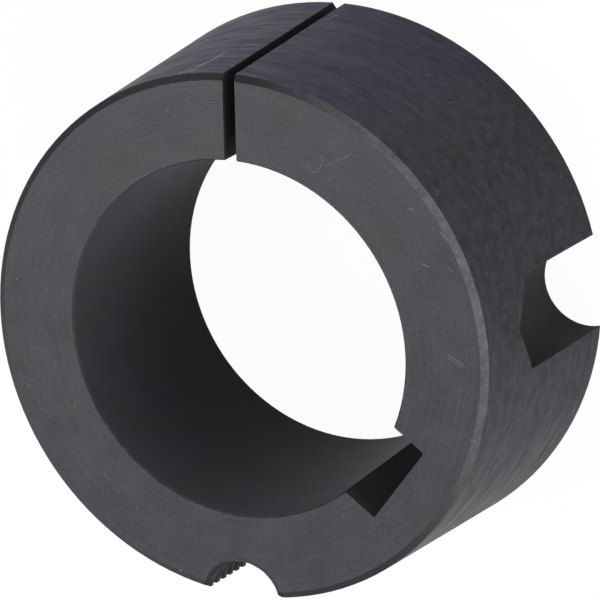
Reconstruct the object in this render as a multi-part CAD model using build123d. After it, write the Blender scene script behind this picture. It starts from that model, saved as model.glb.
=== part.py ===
from build123d import *
import math
import os

# Split taper bushing that clamps a keyed shaft into a hub, in millimetres.
# The origin is the centre of the bore in the large-end face. +Z runs along the
# bore towards the small end, and +Y points at the split. It is turned from one
# solid of cast iron, so it is one piece.

# Turned body
large_end_diameter = 69.85
body_length = 31.75
taper_half_angle = 4.0
bore_diameter = 44.45
large_end_chamfer = 1.4
large_end_bore_chamfer = 0.8
small_end_chamfer_across = 0.8
small_end_chamfer_along = 0.5
small_end_bore_break = 0.2

# Split, sawn right through one side along the bore
split_width = 1.6

# Keyway, broached along the whole bore. Its angle is from +X, towards -Y
keyway_width = 11.11
keyway_depth = 4.05
keyway_angle = 36.3
keyway_corner_radius = 0.2

# Screws stand on one circle, half in the bushing and half in the hub
screw_diameter = 11.11
screw_circle_radius = 33.34
pull_in_angle_from_split = 85.3
pocket_clearance = 0.3
pocket_depth = 19.8
drill_point_angle = 118.0
pocket_mouth_chamfer = 1.4
jacking_angle_from_split = 180.0
jacking_mouth_chamfer = 0.25

# How far the cutting shapes stand out past the faces that they cut
cut_past = 2.0

split_angle = 90.0
large_end_radius = large_end_diameter / 2
bore_radius = bore_diameter / 2
screw_radius = screw_diameter / 2
pocket_radius = screw_radius + pocket_clearance
taper_slope = math.tan(math.radians(taper_half_angle))
drill_point_height = pocket_radius / math.tan(math.radians(drill_point_angle / 2))


def taper_radius(z):
    """Radius of the tapered outside at height z above the large-end face."""
    return large_end_radius - taper_slope * z


def turned_body():
    """The tapered ring: its half section, turned about the bore's axis."""
    chamfer_start = body_length - small_end_chamfer_along
    section = Polyline(
        (bore_radius + large_end_bore_chamfer, 0),
        (large_end_radius - large_end_chamfer, 0),
        (taper_radius(large_end_chamfer), large_end_chamfer),
        (taper_radius(chamfer_start), chamfer_start),
        (taper_radius(body_length) - small_end_chamfer_across, body_length),
        (bore_radius + small_end_bore_break, body_length),
        (bore_radius, body_length - small_end_bore_break),
        (bore_radius, large_end_bore_chamfer),
        close=True,
    )
    return revolve(Plane.XZ * make_face(section), Axis.Z)


def at_angle(angle, shape):
    """Turn a cutting shape, made along +X, to its place round the bore."""
    return Rot(0, 0, angle) * shape


def split_cut():
    """The saw cut, from inside the bore out past the taper."""
    reach = large_end_radius + cut_past
    slab = Box(reach, split_width, body_length + 2 * cut_past, align=(Align.MIN, Align.CENTER, Align.MIN))
    return at_angle(split_angle, Pos(0, 0, -cut_past) * slab)


def keyway_cut():
    """The keyway: a square-bottomed groove with its two floor corners eased."""
    floor_distance = bore_radius + keyway_depth
    groove = Box(
        floor_distance, keyway_width, body_length + 2 * cut_past, align=(Align.MIN, Align.CENTER, Align.MIN)
    )
    floor_corners = groove.edges().filter_by(Axis.Z).group_by(Axis.X)[-1]
    groove = fillet(floor_corners, keyway_corner_radius)
    return at_angle(-keyway_angle, Pos(0, 0, -cut_past) * groove)


def mouth_cut(hole_radius, chamfer):
    """A 45 degree countersink that opens a hole's mouth in the large-end face, centred on +Z."""
    depth = chamfer + cut_past
    return Pos(0, 0, -cut_past) * Cone(
        hole_radius + depth, hole_radius, depth, align=(Align.CENTER, Align.CENTER, Align.MIN)
    )


def pull_in_pocket_cut(angle_from_split):
    """A plain drilled pocket, open at the large end, with its drill point at the bottom."""
    lowest = (Align.CENTER, Align.CENTER, Align.MIN)
    wall = Pos(0, 0, -cut_past) * Cylinder(pocket_radius, pocket_depth + cut_past, align=lowest)
    point = Pos(0, 0, pocket_depth) * Cone(pocket_radius, 0, drill_point_height, align=lowest)
    mouth = mouth_cut(pocket_radius, pocket_mouth_chamfer)
    pocket = Pos(screw_circle_radius, 0, 0) * (wall + point + mouth)
    return at_angle(split_angle + angle_from_split, pocket)


def jacking_hole_cut():
    """The half hole for the jacking screw, right through, at the thread's outer diameter."""
    wall = Pos(0, 0, -cut_past) * Cylinder(
        screw_radius, body_length + 2 * cut_past, align=(Align.CENTER, Align.CENTER, Align.MIN)
    )
    mouth = mouth_cut(screw_radius, jacking_mouth_chamfer)
    far_mouth = Pos(0, 0, body_length) * Rot(180, 0, 0) * mouth
    hole = Pos(screw_circle_radius, 0, 0) * (wall + mouth + far_mouth)
    return at_angle(split_angle + jacking_angle_from_split, hole)


def bushing():
    """The whole bushing: the turned body less its split, keyway and screw holes."""
    body = turned_body()
    body -= split_cut()
    body -= keyway_cut()
    for side in (-1, 1):
        body -= pull_in_pocket_cut(side * pull_in_angle_from_split)
    body -= jacking_hole_cut()
    return body


os.makedirs("parts", exist_ok=True)
export_step(bushing(), "parts/bushing.step")
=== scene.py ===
import math

import bpy
import numpy as np
from mathutils import Matrix, Vector


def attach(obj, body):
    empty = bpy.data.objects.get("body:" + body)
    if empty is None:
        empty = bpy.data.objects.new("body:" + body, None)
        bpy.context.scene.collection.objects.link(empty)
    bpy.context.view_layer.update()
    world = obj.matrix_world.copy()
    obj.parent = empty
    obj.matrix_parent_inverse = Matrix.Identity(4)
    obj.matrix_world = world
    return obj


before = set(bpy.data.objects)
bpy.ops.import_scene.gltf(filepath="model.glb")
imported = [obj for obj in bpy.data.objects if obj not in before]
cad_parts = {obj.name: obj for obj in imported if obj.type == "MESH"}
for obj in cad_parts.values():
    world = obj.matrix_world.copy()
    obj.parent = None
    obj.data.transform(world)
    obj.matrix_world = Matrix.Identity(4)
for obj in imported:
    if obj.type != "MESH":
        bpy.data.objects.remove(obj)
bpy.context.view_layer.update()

# Sizes in millimetres, as they are in the part's source
MM = 0.001
LENGTH = 31.75
LARGE_END_RADIUS = 34.925
LARGE_END_CHAMFER = 1.4
TAPER_SLOPE = math.tan(math.radians(4.0))
SMALL_END_CHAMFER_ACROSS = 0.8
SMALL_END_CHAMFER_ALONG = 0.5
BORE_RADIUS = 22.225
SCREW_CIRCLE = 33.34

# The small-end chamfer's upper and lower radius, and how fast it widens downwards
CHAMFER_TOP = LARGE_END_RADIUS - TAPER_SLOPE * LENGTH - SMALL_END_CHAMFER_ACROSS
CHAMFER_FOOT = LARGE_END_RADIUS - TAPER_SLOPE * (LENGTH - SMALL_END_CHAMFER_ALONG)
CHAMFER_SLOPE = (CHAMFER_FOOT - CHAMFER_TOP) / SMALL_END_CHAMFER_ALONG

# Thread of the jacking screw, 14 to the inch with 55 degree flanks
THREAD_PITCH = 25.4 / 14
THREAD_FLANK = math.radians(27.5)
THREAD_CREST = 4.8
THREAD_ROOT = 5.495
THREAD_BACK = 5.7
THREAD_START = 28.21
THREAD_MOUTH = 5.1
THREAD_INSET = 0.01
COUNTERSINK_RADIUS = 5.805
COUNTERSINK_COVER = 0.1

# Camera, from the photograph's outlines: its place in millimetres, and the directions that it sees as right
# and up. Its clip distances are in metres.
CAMERA_PLACE = (206.254, 142.815, 430.796)
CAMERA_RIGHT = Vector((0.89907, -0.02289, -0.43721))
CAMERA_UP = Vector((-0.10874, 0.95566, -0.27365))
CAMERA_LENS = 236.484
SENSOR = 36.0
CLIP_START, CLIP_END = 0.01, 20.0

# Colours of the phosphate coat on each kind of surface, and of the bare iron that wear shows. Some carry
# painted light: the taper's blue is a painted cool tint, the cut colour is dark partly as painted shade, and
# the bare iron's colour also paints the highlight on the small-end chamfer
FACE_COLOUR = "3E3F42"
FACE_BLUE_COLOUR = "3E3E44"
CHAMFER_COLOUR = "1E1E22"
TAPER_COLOUR = "212127"
# Painted cool tint: the taper turns towards this colour on its side towards the split, as the light falling
# there is cooler
TAPER_COOL_LIGHT_COLOUR = "1F1F31"
BORE_COLOUR = "29292D"
BORE_BLUE_COLOUR = "2A2A36"
# Dark partly as painted shade: the keyway, the pocket and the split take this colour
CUT_AND_SHADE_COLOUR = "222226"
THREAD_COLOUR = "2A2A2D"
BARE_IRON_AND_HIGHLIGHT_COLOUR = "9C9DA1"

# Sizes of the finish in millimetres
GRAIN_SIZE = 0.3
BLOTCH_SIZE = 1.4
MOTTLE_SIZE = 5.0
HUE_PATCH_SIZE = 9.0
FEED = 0.36
FACE_STREAK_WIDTH = 0.3
FACE_STREAK_LENGTH = 9.0
TAPER_STREAK_WIDTH = 1.1
TAPER_STREAK_LENGTH = 7.0
TAPER_MARK_WIDTH = 0.3
TAPER_MARK_LENGTH = 2.5
EDGE_ROUND = 0.14

# Gloss of the porous coat, well under that of a smooth one
COAT_ROUGHNESS = 0.42
FACE_ROUGHNESS = 0.34
CHAMFER_ROUGHNESS = 0.34
CUT_ROUGHNESS = 0.62
THREAD_ROUGHNESS = 0.95
COAT_SPECULAR = 0.15
ROUGHNESS_GRAIN, ROUGHNESS_MOTTLE = 0.15, 0.15

# How much each pattern changes the lightness and, apart from the mottle, the relief. A name that ends in a
# surface is added there alone. The marks leave out the ends and the bore. The streaks on the seat change the
# roughness as much.
GRAIN_WEIGHT, GRAIN_IN_BORE, GRAIN_ON_SEAT = 1.0, -0.7, 0.9
MOTTLE_WEIGHT, MOTTLE_ON_END = 0.35, 0.2
BLOTCH_ON_SEAT = 2.4
STREAK_ON_SEAT = 0.5
MARK_WEIGHT = 0.45
STREAK_ON_END = 0.42
FEED_ON_END = 0.28
RELIEF_MIDDLE, RELIEF_HEIGHT, RELIEF_STRENGTH = 0.5, 0.03, 0.6

# Where the feed marks show clearly on the small-end face, the distances from there at which they start and
# stop fading, and how strong they are when clear and when faint
FEED_CLEAR_AT = (-2.6, 29.6)
FEED_CLEAR_WITHIN, FEED_FAINT_FROM = 1.0, 4.5
FEED_CLEAR, FEED_FAINT = 0.5, 0.06

# How far, in millimetres, a point may be from a surface and still count as on it
END_BAND = 0.02
SEAT_BAND = 0.06
BORE_BAND = 0.05
CHAMFER_BAND = 0.04
THREAD_BAND = 0.03
THREAD_RIM_BAND = 0.25

# Wear along the edges: how well the rounded and the flat normal agree where it starts and where it is full,
# and how bare it is, from the least to the most, as the blotches go from one level to another
EDGE_WEAR_START, EDGE_WEAR_FULL = 0.995, 0.9
EDGE_BLOTCH_FROM, EDGE_BLOTCH_TO = 0.48, 0.66
EDGE_BARE_LEAST, EDGE_BARE_MOST = 0.05, 0.32
BEVEL_SAMPLES = 4

# A painted highlight on one stretch of the small-end chamfer, mixed towards the bare iron's colour: the
# direction of its middle, the cosines of the angle from there at which it ends and is full, how strong it is,
# and how much the patterns change that
CHAMFER_HIGHLIGHT_MIDDLE = (math.cos(math.radians(26)), math.sin(math.radians(26)), 0)
CHAMFER_HIGHLIGHT_END = 0.55
CHAMFER_HIGHLIGHT_FULL = 0.93
CHAMFER_HIGHLIGHT = 0.24
HIGHLIGHT_BLOTCH, HIGHLIGHT_GRAIN = 1.6, 1.0

# Distances towards the split, from the bore's axis, between which the taper takes a painted cool tint of the
# light on that side and the coat in the bore turns bluer, and the levels of the hue patches between which
# it turns bluer on the end faces and in the bore
COOL_LIGHT_FROM, COOL_LIGHT_TO = 25.0, 32.0
BORE_BLUE_FROM, BORE_BLUE_TO = 4.0, 14.0
HUE_PATCH_FROM, HUE_PATCH_TO = 0.4, 0.62

# Knocks on the small-end face, as x and y in millimetres and how bright each is
FACE_KNOCKS = [
    (13.0, 21.3, 0.25), (13.9, 20.1, 0.2), (18.3, 23.4, 0.3), (17.5, 18.6, 0.25), (28.4, 13.2, 0.35),
    (26.2, 14.0, 0.2), (24.3, 16.1, 0.3), (21.2, 15.2, 0.3), (-30.3, 6.5, 0.2), (-29.9, 4.4, 0.55),
    (-25.7, 3.4, 0.3), (-27.3, -4.3, 0.2), (-24.9, -5.7, 0.35), (-28.9, -9.3, 0.5), (-22.5, -11.0, 0.3),
    (-14.4, -23.2, 0.35), (-8.5, -30.6, 0.7), (-8.2, 27.7, 0.4), (15.1, 24.2, 0.4),
]

# Scratches on the small-end face, as a brightness and the points that each passes, in x and y
FACE_SCRATCHES = [
    (0.2, [(10.1, 23.0), (10.3, 22.4), (10.7, 21.9), (11.3, 22.1), (11.9, 22.8), (12.1, 23.5), (12.0, 24.2)]),
    (0.16, [(12.4, 22.8), (13.4, 23.4), (14.5, 23.9), (15.1, 24.2), (15.8, 24.7)]),
    (0.3, [(27.9, 1.55), (29.8, 0.44)]),
    (0.25, [(27.8, 1.17), (29.5, 0.28)]),
    (0.3, [(22.9, 18.6), (23.7, 18.8)]),
    (0.35, [(24.6, 12.25), (25.5, 12.0)]),
    (0.3, [(28.0, 12.1), (28.5, 11.7)]),
    (0.15, [(-18.75, -19.3), (-16.7, -21.5)]),
    (0.5, [(27.0, 16.4), (27.8, 15.5)]),
]

# Scratches on the taper, as a brightness and points given by the angle round the axis and the height
TAPER_SCRATCHES = [
    (0.9, [(98.6, 22.7), (98.8, 26.0), (100.1, 28.2), (102.2, 30.6)]),
    (0.25, [(108.6, 24.7), (106.7, 23.0)]),
    (0.8, [(99.75, 30.7), (98.8, 25.2)]),
    (0.8, [(87.8, 8.1), (86.7, 6.1)]),
    (0.25, [(60.7, 12.6), (60.0, 11.8)]),
    (0.25, [(52.9, 14.2), (52.2, 13.2)]),
    (0.3, [(27.8, 4.3), (28.2, 3.7)]),
    (0.2, [(38.0, 30.0), (38.8, 29.2)]),
]
SCRATCH_WIDTH = 0.09
KNOCK_RADIUS = 0.16

# Square soft lamps, as a name, the direction in which each stands from the bushing, its side in millimetres
# and its power in watts. All are at LAMP_DISTANCE and point at LAMP_AIM.
LAMP_DISTANCE = 900.0
LAMP_AIM = Vector((0, 0, 15))
LAMPS = [
    ("above", (0, 0.95, 0.3), 500, 2.9),
    ("right", (1, -0.1, 0.25), 500, 5.9),
    ("low_right", (0.55, -0.75, 0.35), 500, 4.4),
    ("low_left", (-0.75, -0.5, 0.4), 500, 2.3),
    ("far_left", (-0.6, 0.78, 0.12), 500, 3.4),
    ("over_left", (-0.44, -0.01, 0.9), 350, 2.8),
    ("over_right", (0.54, 0.14, 0.84), 400, 0.5),
    ("over_below", (0.3, -0.6, 0.74), 500, 1.9),
]

# The floor and the white room round it
FLOOR_HALF = 3000.0
FLOOR_COLOUR = "D2D2D2"
FLOOR_WHITENESS = 0.93
FLOOR_MIRRORED_WHITENESS = 0.32
FLOOR_GLOW = 1.03


def linear(hex_colour, alpha=1.0):
    """An sRGB hex colour as linear RGBA."""
    values = [int(hex_colour[i:i + 2], 16) / 255 for i in (0, 2, 4)]
    return tuple(v / 12.92 if v <= 0.04045 else ((v + 0.055) / 1.055) ** 2.4 for v in values) + (alpha,)


def add_node(tree, kind, links=None, **settings):
    """Add a node, set its properties and its inputs by name or number, and link what feeds its inputs.

    A node given as a source stands for its first output.
    """
    node = tree.nodes.new(kind)
    for name, value in settings.items():
        setattr(node, name, value)
    for socket, source in (links or {}).items():
        if isinstance(source, bpy.types.Node):
            source = source.outputs[0]
        if isinstance(source, bpy.types.NodeSocket):
            tree.links.new(source, node.inputs[socket])
        else:
            node.inputs[socket].default_value = source
    return node


def mesh_object(name, vertices, faces):
    """A mesh object at the origin, from vertices in millimetres and an array or list of faces."""
    mesh = bpy.data.meshes.new(name)
    mesh.from_pydata((np.asarray(vertices) * MM).tolist(), [], np.asarray(faces).tolist())
    mesh.update()
    thing = bpy.data.objects.new(name, mesh)
    bpy.context.scene.collection.objects.link(thing)
    return thing


def thread_radius(along, turn):
    """Radius of the tapped wall about the screw's axis, at a height along it and an angle round it.

    The groove is a V with 55 degrees between its flanks. Its bottom is rounded by taking the distance from
    the groove's middle as sqrt(distance^2 + rounding^2), and its crest is cut flat at the drilled radius. The
    groove's middle climbs one pitch a turn, right-handed. A 45 degree break opens both mouths.
    """
    past_sharp_root = THREAD_PITCH / (12 * math.tan(THREAD_FLANK))
    rounding = past_sharp_root * math.tan(THREAD_FLANK)
    crest_height = THREAD_START + THREAD_PITCH * turn / (2 * np.pi)
    from_crest = np.mod(along - crest_height, THREAD_PITCH)
    from_groove = np.abs(from_crest - THREAD_PITCH / 2)
    slant = np.sqrt(from_groove ** 2 + rounding ** 2) / math.tan(THREAD_FLANK)
    groove = THREAD_ROOT + past_sharp_root - slant
    depth_in = np.minimum(along, LENGTH - along)
    return np.minimum(np.maximum(np.maximum(groove, THREAD_CREST), THREAD_MOUTH - depth_in), THREAD_ROOT)


def outside_radius(along):
    """Radius of the bushing's outside at a height: the taper, cut off by the chamfer at each end."""
    taper = LARGE_END_RADIUS - TAPER_SLOPE * along
    small_end = CHAMFER_TOP + CHAMFER_SLOPE * (LENGTH - along)
    large_end = LARGE_END_RADIUS - LARGE_END_CHAMFER + (1 - TAPER_SLOPE) * along
    return np.minimum(taper, np.minimum(small_end, large_end))


def jacking_thread():
    """The thread cut in the half hole, as a thin closed skin on the hole's wall.

    Rows go along the hole and columns go round it, from one edge on the outside to the other. At radius q
    about the screw's axis, the wall meets the outside's radius R where the angle t from the bore's centre line
    has cos t = (C^2 + q^2 - R^2) / (2 C q), with C the screws' circle. As q depends on t, t is found by
    repeating that. The front of each row follows the thread. Its back lies inside the solid, and near the ends
    it widens with the solid's countersink, to fill that. Rows join into a closed tube.
    """
    rows, columns, under, repeats = 430, 72, 0.02, 12
    along = np.linspace(THREAD_INSET, LENGTH - THREAD_INSET, rows)[:, None]
    outside = outside_radius(along) - under
    share = np.linspace(-1, 1, columns)[None, :]
    depth_in = np.minimum(along, LENGTH - along)
    back = np.maximum(THREAD_BACK, COUNTERSINK_RADIUS + COUNTERSINK_COVER - depth_in)

    def edge_angle(radius):
        cosine = (SCREW_CIRCLE ** 2 + radius ** 2 - outside ** 2) / (2 * SCREW_CIRCLE * radius)
        return np.arccos(np.clip(cosine, -1, 1))

    edges = []
    for side in (-1, 1):
        angle = side * edge_angle(np.full_like(along, THREAD_ROOT))
        for _ in range(repeats):
            angle = side * edge_angle(thread_radius(along, np.pi / 2 - angle))
        edges.append(angle)
    front_angle = edges[0] + (edges[1] - edges[0]) * (share + 1) / 2
    front_radius = thread_radius(along, np.pi / 2 - front_angle)
    back_angle = -share * edge_angle(back)
    angle = np.hstack([front_angle, back_angle])
    radius = np.hstack([front_radius, np.broadcast_to(back, back_angle.shape)])
    height = np.broadcast_to(along, angle.shape)
    points = np.stack([radius * np.sin(angle), radius * np.cos(angle) - SCREW_CIRCLE, height], -1)

    ring = 2 * columns
    row, column = np.meshgrid(np.arange(rows - 1), np.arange(ring), indexing="ij")
    here, right = row * ring + column, row * ring + (column + 1) % ring
    wall = np.stack([here, right, right + ring, here + ring], -1).reshape(-1, 4)
    step = np.arange(columns - 1)
    low_end = np.stack([step, ring - 1 - step, ring - 2 - step, step + 1], -1)
    high_end = (low_end + (rows - 1) * ring)[:, ::-1]
    return mesh_object("jacking_thread", points.reshape(-1, 3), np.vstack([wall, low_end, high_end]))


def make_camera():
    """The camera at the photograph's angle."""
    data = bpy.data.cameras.new("camera")
    data.lens = CAMERA_LENS
    data.sensor_width = SENSOR
    data.clip_start, data.clip_end = CLIP_START, CLIP_END
    camera = bpy.data.objects.new("camera", data)
    right = CAMERA_RIGHT.normalized()
    back = right.cross(CAMERA_UP).normalized()
    up = back.cross(right)
    turn = Matrix((right, up, back)).transposed().to_4x4()
    camera.matrix_world = Matrix.Translation(Vector(CAMERA_PLACE) * MM) @ turn
    bpy.context.scene.collection.objects.link(camera)
    bpy.context.scene.camera = camera


def on_face(point):
    """A point of the small-end face, from its x and y."""
    return Vector((point[0], point[1], LENGTH))


def on_taper(point):
    """A point of the taper, from its angle in degrees and its height."""
    angle, height = math.radians(point[0]), point[1]
    radius = LARGE_END_RADIUS - TAPER_SLOPE * height
    return Vector((radius * math.cos(angle), radius * math.sin(angle), height))


def spot_mask(tree, place, centre, spot_radius, brightness):
    """A round spot: its brightness at the centre, falling to 0 at its radius."""
    gap = add_node(tree, "ShaderNodeVectorMath", {0: place, 1: centre},
                   operation="DISTANCE").outputs["Value"]
    return add_node(tree, "ShaderNodeMapRange", {0: gap, 1: 0.0, 2: spot_radius, 3: brightness, 4: 0.0})


def scratch_mask(tree, place, start, end, brightness):
    """A thin line from start to end: its brightness on the line, falling to 0 at SCRATCH_WIDTH from it.

    The nearest point of the line is start + s (end - start), with s the offset along it, kept between 0
    and 1.
    """
    along = end - start
    offset = add_node(tree, "ShaderNodeVectorMath", {0: place, 1: start}, operation="SUBTRACT")
    share = add_node(tree, "ShaderNodeVectorMath", {0: offset, 1: along / along.length_squared},
                     operation="DOT_PRODUCT").outputs["Value"]
    kept = add_node(tree, "ShaderNodeClamp", {0: share})
    nearest = add_node(tree, "ShaderNodeVectorMath", {0: along, "Scale": kept}, operation="SCALE")
    gap = add_node(tree, "ShaderNodeVectorMath", {0: offset, 1: nearest},
                   operation="DISTANCE").outputs["Value"]
    return add_node(tree, "ShaderNodeMapRange", {0: gap, 1: 0.0, 2: SCRATCH_WIDTH, 3: brightness, 4: 0.0})


def largest(tree, masks):
    """The largest of several masks."""
    result = masks[0]
    for mask in masks[1:]:
        result = add_node(tree, "ShaderNodeMath", {0: result, 1: mask}, operation="MAXIMUM")
    return result


def handling_marks(tree, place):
    """All the scratches and knocks that show on the small-end face and the taper."""
    masks = [spot_mask(tree, place, on_face((x, y)), KNOCK_RADIUS, level) for x, y, level in FACE_KNOCKS]
    for scratches, put in ((FACE_SCRATCHES, on_face), (TAPER_SCRATCHES, on_taper)):
        for brightness, route in scratches:
            points = [put(point) for point in route]
            masks += [scratch_mask(tree, place, a, b, brightness) for a, b in zip(points, points[1:])]
    return largest(tree, masks)


def stretched_noise(tree, place, sizes, detail):
    """Noise whose patches have the given sizes in millimetres along X, Y and Z."""
    scaled = add_node(tree, "ShaderNodeVectorMath", {0: place, 1: [1 / size for size in sizes]},
                      operation="MULTIPLY")
    return add_node(tree, "ShaderNodeTexNoise", {"Vector": scaled, "Scale": 1.0, "Detail": detail,
                                                 "Roughness": 0.6})


def weighted(tree, base, parts):
    """base plus each pattern's distance from its middle of 0.5, times its weight, which may be a mask."""
    result = base
    for pattern, weight in parts:
        centred = add_node(tree, "ShaderNodeMath", {0: pattern, 1: 0.5}, operation="SUBTRACT")
        result = add_node(tree, "ShaderNodeMath", {0: centred, 1: weight, 2: result},
                          operation="MULTIPLY_ADD")
    return result


def phosphated_iron():
    """Grey cast iron, turned and then given a phosphate coat.

    The coat is a dark grey, slightly blue layer of fine crystals over the lathe's marks. It gives the eye a
    matt to satin surface with a fine grain and soft clouds, which brightens only where it is seen very flat,
    and which is worn to lighter metal along its edges and at scratches. Painted light is mixed in too: a
    cool tint on the taper's side towards the split, painted shade in the cut surfaces' dark colour, and a
    highlight on one stretch of the small-end chamfer.
    """
    material = bpy.data.materials.new("phosphated_cast_iron")
    material.use_nodes = True
    tree = material.node_tree
    shader = tree.nodes["Principled BSDF"]

    # Place in millimetres, and the radius from the bore's axis
    coordinates = add_node(tree, "ShaderNodeTexCoord").outputs["Object"]
    place = add_node(tree, "ShaderNodeVectorMath", {0: coordinates, "Scale": 1 / MM}, operation="SCALE")
    axes = add_node(tree, "ShaderNodeSeparateXYZ", {0: place})
    height = axes.outputs["Z"]
    across = add_node(tree, "ShaderNodeVectorMath", {0: place, 1: (1, 1, 0)}, operation="MULTIPLY")
    radius = add_node(tree, "ShaderNodeVectorMath", {0: across}, operation="LENGTH").outputs["Value"]

    # Which kind of surface a point is on: 1 on it and 0 elsewhere
    small_end = add_node(tree, "ShaderNodeMath", {0: height, 1: LENGTH, 2: END_BAND}, operation="COMPARE")
    large_end = add_node(tree, "ShaderNodeMath", {0: height, 1: 0.0, 2: END_BAND}, operation="COMPARE")
    on_end = add_node(tree, "ShaderNodeMath", {0: small_end, 1: large_end}, operation="MAXIMUM")
    straightened = add_node(tree, "ShaderNodeMath", {0: height, 1: TAPER_SLOPE, 2: radius},
                            operation="MULTIPLY_ADD")
    on_seat = add_node(tree, "ShaderNodeMath", {0: straightened, 1: LARGE_END_RADIUS, 2: SEAT_BAND},
                       operation="COMPARE")
    on_bore = add_node(tree, "ShaderNodeMath", {0: radius, 1: BORE_RADIUS, 2: BORE_BAND}, operation="COMPARE")
    levelled = add_node(tree, "ShaderNodeMath", {0: height, 1: CHAMFER_SLOPE, 2: radius},
                        operation="MULTIPLY_ADD")
    on_chamfer = add_node(tree, "ShaderNodeMath", {0: levelled, 1: CHAMFER_TOP + CHAMFER_SLOPE * LENGTH,
                                                   2: CHAMFER_BAND}, operation="COMPARE")
    from_screw = add_node(tree, "ShaderNodeVectorMath", {0: across, 1: (0, -SCREW_CIRCLE, 0)},
                          operation="DISTANCE").outputs["Value"]
    beside_thread = add_node(tree, "ShaderNodeMath", {0: from_screw, 1: COUNTERSINK_RADIUS,
                                                      2: THREAD_RIM_BAND}, operation="COMPARE")
    on_thread = add_node(tree, "ShaderNodeMath", {0: from_screw, 1: THREAD_ROOT + THREAD_BAND},
                         operation="LESS_THAN")

    # Patterns of the coat and of the turning
    grain = stretched_noise(tree, place, [GRAIN_SIZE] * 3, 3.0)
    mottle = stretched_noise(tree, place, [MOTTLE_SIZE] * 3, 3.0)
    hue_patch = stretched_noise(tree, place, [HUE_PATCH_SIZE] * 3, 1.0)
    blotch = stretched_noise(tree, place, [BLOTCH_SIZE] * 3, 3.0)
    taper_streak = stretched_noise(tree, place, [TAPER_STREAK_LENGTH] * 2 + [TAPER_STREAK_WIDTH], 2.0)
    taper_mark = stretched_noise(tree, place, [TAPER_MARK_LENGTH] * 2 + [TAPER_MARK_WIDTH], 2.0)
    radius_steps = add_node(tree, "ShaderNodeMath", {0: radius, 1: 1 / FACE_STREAK_WIDTH},
                            operation="MULTIPLY")
    slow_place = add_node(tree, "ShaderNodeVectorMath", {0: place, "Scale": 1 / FACE_STREAK_LENGTH},
                          operation="SCALE")
    slow_axes = add_node(tree, "ShaderNodeSeparateXYZ", {0: slow_place})
    ring_place = add_node(tree, "ShaderNodeCombineXYZ", {0: radius_steps, 1: slow_axes.outputs["X"],
                                                         2: slow_axes.outputs["Y"]})
    face_streak = add_node(tree, "ShaderNodeTexNoise", {"Vector": ring_place, "Scale": 1.0, "Detail": 2.0})
    feed_phase = add_node(tree, "ShaderNodeMath", {0: radius, 1: 2 * math.pi / FEED}, operation="MULTIPLY")
    feed_wave = add_node(tree, "ShaderNodeMath", {0: feed_phase}, operation="SINE")
    from_clear = add_node(tree, "ShaderNodeVectorMath", {0: place, 1: on_face(FEED_CLEAR_AT)},
                          operation="DISTANCE").outputs["Value"]
    feed_strength = add_node(tree, "ShaderNodeMapRange", {0: from_clear, 1: FEED_CLEAR_WITHIN,
                                                          2: FEED_FAINT_FROM, 3: FEED_CLEAR, 4: FEED_FAINT})
    feed_mark = add_node(tree, "ShaderNodeMath", {0: feed_wave, 1: feed_strength, 2: 0.5},
                         operation="MULTIPLY_ADD")

    # Colour of each kind of surface
    blue_share = add_node(tree, "ShaderNodeMapRange", {0: hue_patch, 1: HUE_PATCH_FROM, 2: HUE_PATCH_TO})
    face_colour = add_node(tree, "ShaderNodeMixRGB", {0: blue_share, 1: linear(FACE_COLOUR),
                                                      2: linear(FACE_BLUE_COLOUR)})
    bore_by_split = add_node(tree, "ShaderNodeMapRange", {0: axes.outputs["Y"], 1: BORE_BLUE_FROM,
                                                          2: BORE_BLUE_TO})
    bore_blue = largest(tree, [blue_share, bore_by_split])
    bore_colour = add_node(tree, "ShaderNodeMixRGB", {0: bore_blue, 1: linear(BORE_COLOUR),
                                                      2: linear(BORE_BLUE_COLOUR)})
    # The cut surfaces' colour, dark partly as painted shade in the keyway, the pocket and the split, or the
    # thread's
    colour = add_node(tree, "ShaderNodeMixRGB", {0: on_thread, 1: linear(CUT_AND_SHADE_COLOUR),
                                                 2: linear(THREAD_COLOUR)})
    colour = add_node(tree, "ShaderNodeMixRGB", {0: on_end, 1: colour, 2: face_colour})
    colour = add_node(tree, "ShaderNodeMixRGB", {0: on_chamfer, 1: colour, 2: linear(CHAMFER_COLOUR)})
    colour = add_node(tree, "ShaderNodeMixRGB", {0: on_bore, 1: colour, 2: bore_colour})
    # Painted cool tint of the light on the taper's side towards the split
    cool_light_share = add_node(tree, "ShaderNodeMapRange", {0: axes.outputs["Y"], 1: COOL_LIGHT_FROM, 2: COOL_LIGHT_TO})
    taper_colour_and_cool_light = add_node(tree, "ShaderNodeMixRGB", {0: cool_light_share, 1: linear(TAPER_COLOUR),
                                                       2: linear(TAPER_COOL_LIGHT_COLOUR)})
    colour = add_node(tree, "ShaderNodeMixRGB", {0: on_seat, 1: colour, 2: taper_colour_and_cool_light})

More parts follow.
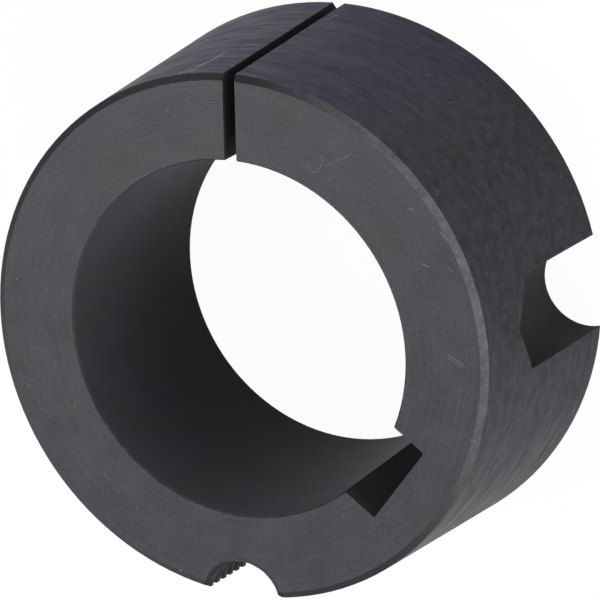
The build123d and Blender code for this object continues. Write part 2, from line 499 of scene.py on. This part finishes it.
    # How much of each pattern a surface has
    grain_weight = add_node(tree, "ShaderNodeMath", {0: on_bore, 1: GRAIN_IN_BORE, 2: GRAIN_WEIGHT},
                            operation="MULTIPLY_ADD")
    grain_weight = add_node(tree, "ShaderNodeMath", {0: on_seat, 1: GRAIN_ON_SEAT, 2: grain_weight},
                            operation="MULTIPLY_ADD")
    mottle_weight = add_node(tree, "ShaderNodeMath", {0: on_end, 1: MOTTLE_ON_END, 2: MOTTLE_WEIGHT},
                             operation="MULTIPLY_ADD")
    blotch_weight = add_node(tree, "ShaderNodeMath", {0: on_seat, 1: BLOTCH_ON_SEAT}, operation="MULTIPLY")
    streak_weight = add_node(tree, "ShaderNodeMath", {0: on_seat, 1: STREAK_ON_SEAT}, operation="MULTIPLY")
    smooth = add_node(tree, "ShaderNodeMath", {0: on_end, 1: on_bore}, operation="MAXIMUM")
    mark_weight = add_node(tree, "ShaderNodeMath", {0: smooth, 1: -MARK_WEIGHT, 2: MARK_WEIGHT},
                           operation="MULTIPLY_ADD")
    ring_weight = add_node(tree, "ShaderNodeMath", {0: on_end, 1: STREAK_ON_END}, operation="MULTIPLY")
    feed_weight = add_node(tree, "ShaderNodeMath", {0: on_end, 1: FEED_ON_END}, operation="MULTIPLY")
    lightness = weighted(tree, 1.0, [(grain, grain_weight), (mottle, mottle_weight), (blotch, blotch_weight),
                                     (taper_streak, streak_weight), (taper_mark, mark_weight),
                                     (face_streak, ring_weight), (feed_mark, feed_weight)])
    colour = add_node(tree, "ShaderNodeMixRGB", {0: 1.0, 1: colour, 2: lightness}, blend_type="MULTIPLY")

    # Wear: the coat is thin along the edges, where the rounded and the flat normal differ. A painted highlight
    # lightens part of the small-end chamfer the same way
    rounded = add_node(tree, "ShaderNodeBevel", {"Radius": EDGE_ROUND * MM}, samples=BEVEL_SAMPLES)
    flat = add_node(tree, "ShaderNodeNewGeometry").outputs["Normal"]
    agreement = add_node(tree, "ShaderNodeVectorMath", {0: rounded, 1: flat},
                         operation="DOT_PRODUCT").outputs["Value"]
    edge = add_node(tree, "ShaderNodeMapRange", {0: agreement, 1: EDGE_WEAR_START, 2: EDGE_WEAR_FULL})
    rubbed = add_node(tree, "ShaderNodeMapRange", {0: blotch, 1: EDGE_BLOTCH_FROM, 2: EDGE_BLOTCH_TO,
                                                   3: EDGE_BARE_LEAST, 4: EDGE_BARE_MOST})
    edge_wear = add_node(tree, "ShaderNodeMath", {0: edge, 1: rubbed}, operation="MULTIPLY")
    covered_wear = add_node(tree, "ShaderNodeMath", {0: edge_wear, 1: beside_thread}, operation="MULTIPLY")
    edge_wear = add_node(tree, "ShaderNodeMath", {0: edge_wear, 1: covered_wear}, operation="SUBTRACT")
    # Painted highlight on the stretch of the small-end chamfer that faces the middle direction given above
    outwards = add_node(tree, "ShaderNodeVectorMath", {0: across}, operation="NORMALIZE")
    highlight_side = add_node(tree, "ShaderNodeVectorMath", {0: outwards, 1: CHAMFER_HIGHLIGHT_MIDDLE},
                        operation="DOT_PRODUCT").outputs["Value"]
    highlight_level = add_node(tree, "ShaderNodeMapRange", {0: highlight_side, 1: CHAMFER_HIGHLIGHT_END, 2: CHAMFER_HIGHLIGHT_FULL,
                                                      4: CHAMFER_HIGHLIGHT})
    highlight_patches = weighted(tree, 1.0, [(blotch, HIGHLIGHT_BLOTCH), (grain, HIGHLIGHT_GRAIN)])
    highlight_level = add_node(tree, "ShaderNodeMath", {0: highlight_level, 1: highlight_patches}, operation="MULTIPLY")
    chamfer_highlight = add_node(tree, "ShaderNodeMath", {0: highlight_level, 1: on_chamfer}, operation="MULTIPLY")
    # The edge wear, the painted chamfer highlight and the handling marks, each mixed towards the bare iron's
    # colour
    wear_and_highlight = largest(tree, [edge_wear, chamfer_highlight, handling_marks(tree, place)])
    colour = add_node(tree, "ShaderNodeMixRGB", {0: wear_and_highlight, 1: colour, 2: linear(BARE_IRON_AND_HIGHLIGHT_COLOUR)})
    tree.links.new(colour.outputs[0], shader.inputs["Base Color"])

    # Gloss and fine relief
    turned = add_node(tree, "ShaderNodeMath", {0: smooth, 1: on_seat}, operation="MAXIMUM")
    gloss = add_node(tree, "ShaderNodeMapRange", {0: turned, 3: CUT_ROUGHNESS, 4: COAT_ROUGHNESS})
    gloss = add_node(tree, "ShaderNodeMapRange", {0: on_end, 3: gloss, 4: FACE_ROUGHNESS})
    gloss = add_node(tree, "ShaderNodeMapRange", {0: on_chamfer, 3: gloss, 4: CHAMFER_ROUGHNESS})
    gloss = add_node(tree, "ShaderNodeMapRange", {0: on_thread, 3: gloss, 4: THREAD_ROUGHNESS})
    roughness = weighted(tree, gloss, [(grain, ROUGHNESS_GRAIN), (taper_streak, streak_weight),
                                       (mottle, ROUGHNESS_MOTTLE)])
    tree.links.new(roughness.outputs[0], shader.inputs["Roughness"])
    shader.inputs["Specular IOR Level"].default_value = COAT_SPECULAR
    relief = weighted(tree, RELIEF_MIDDLE, [(grain, grain_weight), (blotch, blotch_weight),
                                            (taper_streak, streak_weight), (taper_mark, mark_weight),
                                            (face_streak, ring_weight), (feed_mark, feed_weight)])
    bump = add_node(tree, "ShaderNodeBump", {"Height": relief, "Distance": RELIEF_HEIGHT * MM,
                                             "Strength": RELIEF_STRENGTH, "Normal": rounded})
    tree.links.new(bump.outputs[0], shader.inputs["Normal"])
    return material


def ray_kinds(tree):
    """1 for rays from the camera, and 1 for rays that a surface has mirrored or refracted."""
    light_path = add_node(tree, "ShaderNodeLightPath")
    mirrored = add_node(tree, "ShaderNodeMath", {0: light_path.outputs["Is Glossy Ray"],
                                                 1: light_path.outputs["Is Transmission Ray"]},
                        operation="MAXIMUM")
    return light_path.outputs["Is Camera Ray"], mirrored


def make_floor():
    """A plain pale floor under the large end.

    Seen by the camera, it is nearly white and keeps a faint shadow. Mirrored, it is the lit floor with its
    shadow and a smaller share of white.
    """
    corners = [(-FLOOR_HALF, -FLOOR_HALF, 0), (FLOOR_HALF, -FLOOR_HALF, 0), (FLOOR_HALF, FLOOR_HALF, 0),
               (-FLOOR_HALF, FLOOR_HALF, 0)]
    floor = mesh_object("floor", corners, [(0, 1, 2, 3)])
    material = bpy.data.materials.new("pale_floor")
    material.use_nodes = True
    tree = material.node_tree
    tree.nodes.clear()
    seen, mirrored = ray_kinds(tree)
    seen_share = add_node(tree, "ShaderNodeMath", {0: seen, 1: FLOOR_WHITENESS}, operation="MULTIPLY")
    share = add_node(tree, "ShaderNodeMath", {0: mirrored, 1: FLOOR_MIRRORED_WHITENESS, 2: seen_share},
                     operation="MULTIPLY_ADD")
    matt = add_node(tree, "ShaderNodeBsdfDiffuse", {"Color": linear(FLOOR_COLOUR)})
    white = add_node(tree, "ShaderNodeEmission", {"Color": (1, 1, 1, 1), "Strength": FLOOR_GLOW})
    mix = add_node(tree, "ShaderNodeMixShader", {0: share, 1: matt, 2: white})
    add_node(tree, "ShaderNodeOutputMaterial", {"Surface": mix})
    floor.data.materials.append(material)


def make_lamp(name, direction, side, watts):
    """A square soft lamp that stands in a direction from the bushing and points at it."""
    data = bpy.data.lights.new(name, "AREA")
    data.shape = "SQUARE"
    data.size = side * MM
    data.energy = watts
    lamp = bpy.data.objects.new(name, data)
    outwards = Vector(direction).normalized()
    place = Matrix.Translation((LAMP_AIM + outwards * LAMP_DISTANCE) * MM)
    lamp.matrix_world = place @ outwards.to_track_quat("Z", "Y").to_matrix().to_4x4()
    bpy.context.scene.collection.objects.link(lamp)


def make_world():
    """A white room: full white where it is seen or mirrored. The lamps alone light matt surfaces."""
    world = bpy.data.worlds.new("studio")
    world.use_nodes = True
    tree = world.node_tree
    seen, mirrored = ray_kinds(tree)
    strength = add_node(tree, "ShaderNodeMath", {0: seen, 1: mirrored}, operation="MAXIMUM")
    background = tree.nodes["Background"]
    background.inputs["Color"].default_value = (1, 1, 1, 1)
    tree.links.new(strength.outputs[0], background.inputs["Strength"])
    bpy.context.scene.world = world


make_camera()
make_world()
make_floor()
for lamp_values in LAMPS:
    make_lamp(*lamp_values)

iron = phosphated_iron()
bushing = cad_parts["bushing"]
bushing.data.materials.clear()
bushing.data.materials.append(iron)
thread = jacking_thread()
thread.data.materials.append(iron)
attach(thread, "root")

bpy.context.scene.view_settings.view_transform = "Standard"
